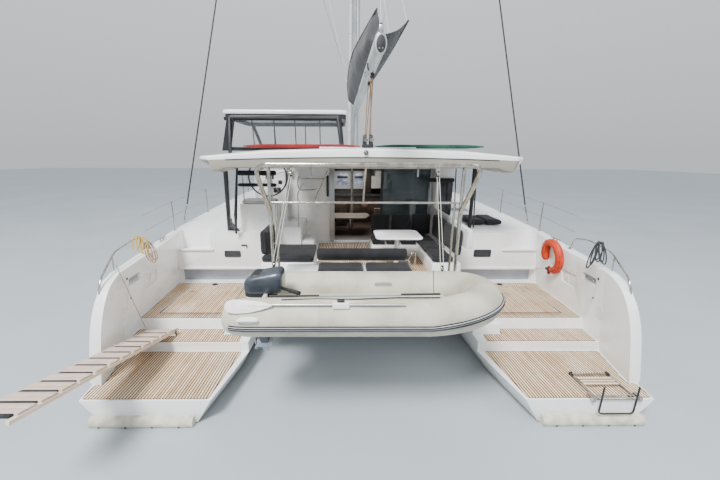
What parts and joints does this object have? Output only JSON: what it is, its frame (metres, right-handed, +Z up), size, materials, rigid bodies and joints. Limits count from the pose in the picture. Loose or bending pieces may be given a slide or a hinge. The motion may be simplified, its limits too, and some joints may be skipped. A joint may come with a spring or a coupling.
{
  "type": "sailing catamaran",
  "caption": "Cruising sailing catamaran with stern steps, hardtop cockpit, raised helm, boom with sail bag, davit arch and hung tender.",
  "frame": {"origin": "on the waterline plane, on the centreline, at mid-length between the stern platforms and the bows", "axes": "+X to starboard, +Y to the bows, +Z up along the mast"},
  "size_m": [8.2, 15.432, 22.75],
  "materials": {
    "gelcoat": "gloss",
    "antifouling": "matte",
    "grey_gelcoat": "satin",
    "bronze": "satin",
    "glass": "gloss",
    "black_trim": "satin",
    "cushion": "matte",
    "steel": "polished",
    "inflatable": "matte",
    "fender": "matte",
    "cowling": "satin",
    "aluminium": "satin",
    "netting": "matte",
    "sailcloth": "matte",
    "canvas": "matte",
    "teak": "matte",
    "orange_foam": "matte"
  },
  "bodies": {
    "boat": {"hull_port": "gelcoat", "hull_starboard": "gelcoat", "bridge_deck": "gelcoat", "roof": "gelcoat", "bulkhead": "gelcoat", "deckhouse_port": "gelcoat", "deckhouse_starboard": "gelcoat", "deckhouse_front": "gelcoat", "helm_console": "gelcoat", "helm_seat": "gelcoat", "helm_top": "gelcoat", "aft_bench": "gelcoat", "port_seat": "gelcoat", "sofa_base": "gelcoat", "cockpit_table": "gelcoat", "keel_port": "antifouling", "keel_starboard": "antifouling", "saildrive_port": "grey_gelcoat", "saildrive_starboard": "grey_gelcoat", "window_port": "glass", "window_starboard": "glass", "window_front": "glass", "aft_pane": "glass", "hardtop_post_port": "black_trim", "hardtop_post_starboard": "black_trim", "helm_top_frame": "black_trim", "helm_backrest": "cushion", "aft_bench_cushion": "cushion", "aft_bench_roll": "cushion", "port_seat_cushion": "cushion", "sofa_cushion": "cushion", "side_sunpad": "cushion", "davit_arch": "steel", "stern_rail_port": "steel", "stern_rail_starboard": "steel", "ladder_bracket": "steel", "gangway_foot": "steel", "tender_tube": "inflatable", "tender_floor": "inflatable", "transom_fender_port": "fender", "transom_fender_starboard": "fender", "outboard": "cowling", "crossbeam": "aluminium", "mast": "aluminium", "trampoline_port": "netting", "trampoline_starboard": "netting", "headsail": "sailcloth", "lifebuoy": "orange_foam"},
    "boom": {"boom": "aluminium", "sail_bag": "canvas"},
    "rudder_port": {"rudder_port": "antifouling"},
    "rudder_starboard": {"rudder_starboard": "antifouling"},
    "wheel": {"steering_wheel": "steel"},
    "propeller_port": {"propeller_port": "bronze"},
    "propeller_starboard": {"propeller_starboard": "bronze"},
    "door": {"sliding_door": "glass"},
    "hatch_port": {"engine_hatch_port": "teak"},
    "hatch_starboard": {"engine_hatch_starboard": "teak"},
    "gangway": {"gangway": "teak"},
    "swim_ladder": {"swim_ladder": "steel"}
  },
  "joints": [
    {"name": "boom_swing", "type": "hinge", "parent": "boat", "child": "boom", "pos_m": [0, -1.175, 4.56], "axis": [0, 0, 1], "range_deg": [-60, 60]},
    {"name": "rudder_port_turn", "type": "hinge", "parent": "boat", "child": "rudder_port", "pos_m": [-2.92, -5.65, -0.6], "axis": [0, 0, 1], "range_deg": [-35, 35]},
    {"name": "rudder_starboard_turn", "type": "hinge", "parent": "boat", "child": "rudder_starboard", "pos_m": [2.92, -5.65, -0.6], "axis": [0, 0, 1], "range_deg": [-35, 35]},
    {"name": "wheel_turn", "type": "hinge", "parent": "boat", "child": "wheel", "pos_m": [-2.04, -2.95, 2.93], "axis": [0, 1, 0], "range_deg": [-350, 350]},
    {"name": "propeller_port_spin", "type": "hinge", "parent": "boat", "child": "propeller_port", "pos_m": [-2.92, -4.57, -0.86], "axis": [0, 1, 0], "continuous": true},
    {"name": "propeller_starboard_spin", "type": "hinge", "parent": "boat", "child": "propeller_starboard", "pos_m": [2.92, -4.57, -0.86], "axis": [0, 1, 0], "continuous": true},
    {"name": "saloon_door_slide", "type": "slide", "parent": "boat", "child": "door", "axis": [-1, 0, 0], "range_m": [0, 1.13]},
    {"name": "engine_hatch_port_lift", "type": "hinge", "parent": "boat", "child": "hatch_port", "pos_m": [-2.99, -4.006, 0.7103], "axis": [-1, 0, 0], "range_deg": [0, 75]},
    {"name": "engine_hatch_starboard_lift", "type": "hinge", "parent": "boat", "child": "hatch_starboard", "pos_m": [2.99, -4.006, 0.7103], "axis": [-1, 0, 0], "range_deg": [0, 75]},
    {"name": "gangway_lift", "type": "hinge", "parent": "boat", "child": "gangway", "pos_m": [-3.31, -5.61, 0.602], "axis": [-1, 0, 0], "range_deg": [0, 60]},
    {"name": "swim_ladder_fold", "type": "hinge", "parent": "boat", "child": "swim_ladder", "pos_m": [3.19, -6.93, 0.39], "axis": [1, 0, 0], "range_deg": [0, 235]}
  ],
  "couplings": [
    {"joint": "rudder_starboard_turn", "follows": "rudder_port_turn", "ratio": 1},
    {"joint": "wheel_turn", "follows": "rudder_port_turn", "ratio": 10}
  ]
}
